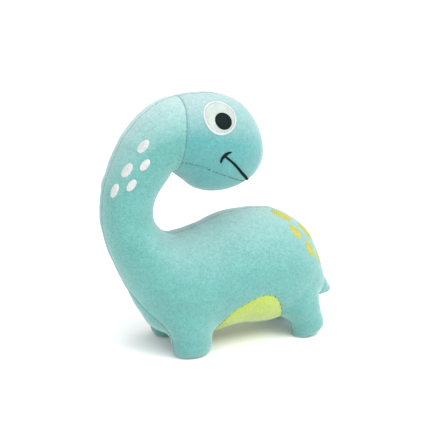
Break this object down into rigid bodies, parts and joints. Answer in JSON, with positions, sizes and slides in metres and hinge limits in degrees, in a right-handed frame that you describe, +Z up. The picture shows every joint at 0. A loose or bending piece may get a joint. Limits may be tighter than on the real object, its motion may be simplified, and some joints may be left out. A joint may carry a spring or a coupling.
{
  "type": "plush dinosaur",
  "caption": "Stuffed long-necked dinosaur with the head turned back over the body: turquoise short-pile fabric, green belly, embroidered eyes, mouth and spots",
  "frame": {"origin": "on the ground under the middle of the toy's box, in its plane of symmetry", "axes": "+Z up; -X is the way the chest faces and +X the way the tail points and the face looks; -Y is the toy's own left"},
  "size_m": [0.3007, 0.1132, 0.3],
  "materials": {
    "turquoise_fabric": "short-pile velour",
    "green_fabric": "short-pile velour",
    "eye_felt": "flat embroidered fill",
    "white_thread": "satin stitch, slightly glossy",
    "yellow_thread": "flat embroidered fill",
    "black_thread": "satin stitch, slightly glossy",
    "fibre": "loose polyester fibre"
  },
  "bodies": {
    "torso": {"left_side_panel": "turquoise_fabric", "right_side_panel": "turquoise_fabric", "chest_gusset": "turquoise_fabric", "belly_panel": "green_fabric", "rump_gusset": "turquoise_fabric", "front_left_sole": "turquoise_fabric", "front_right_sole": "turquoise_fabric", "rear_left_sole": "turquoise_fabric", "rear_right_sole": "turquoise_fabric", "body_fill": "fibre", "neck_lower_fill": "fibre", "front_left_leg_fill": "fibre", "front_right_leg_fill": "fibre", "rear_left_leg_fill": "fibre", "rear_right_leg_fill": "fibre", "left_rump_spots": "yellow_thread", "right_rump_spots": "yellow_thread"},
    "head": {"neck_upper_fill": "fibre", "left_neck_spots": "white_thread", "right_neck_spots": "white_thread", "head_left_panel": "turquoise_fabric", "head_right_panel": "turquoise_fabric", "chin_gusset": "turquoise_fabric", "head_fill": "fibre", "left_eye_white": "eye_felt", "right_eye_white": "eye_felt", "left_eye_border": "white_thread", "right_eye_border": "white_thread", "left_pupil": "black_thread", "right_pupil": "black_thread", "mouth_stitching": "black_thread"},
    "tail": {"tail_left_panel": "turquoise_fabric", "tail_right_panel": "turquoise_fabric", "tail_fill": "fibre"}
  },
  "joints": [
    {"name": "neck_bend", "type": "hinge", "parent": "torso", "child": "head", "pos_m": [-0.12072, 0, 0.17897], "axis": [0, 1, 0], "range_deg": [-8, 8], "stiffness_Nm_per_rad": 1.5, "springref_deg": -1.72, "deforming": ["left_side_panel", "right_side_panel"]},
    {"name": "tail_swing", "type": "hinge", "parent": "torso", "child": "tail", "pos_m": [0.12718, 0, 0.04812], "axis": [0, 0, 1], "range_deg": [-20, 20], "stiffness_Nm_per_rad": 0.02, "deforming": ["tail_left_panel", "tail_right_panel"]}
  ]
}
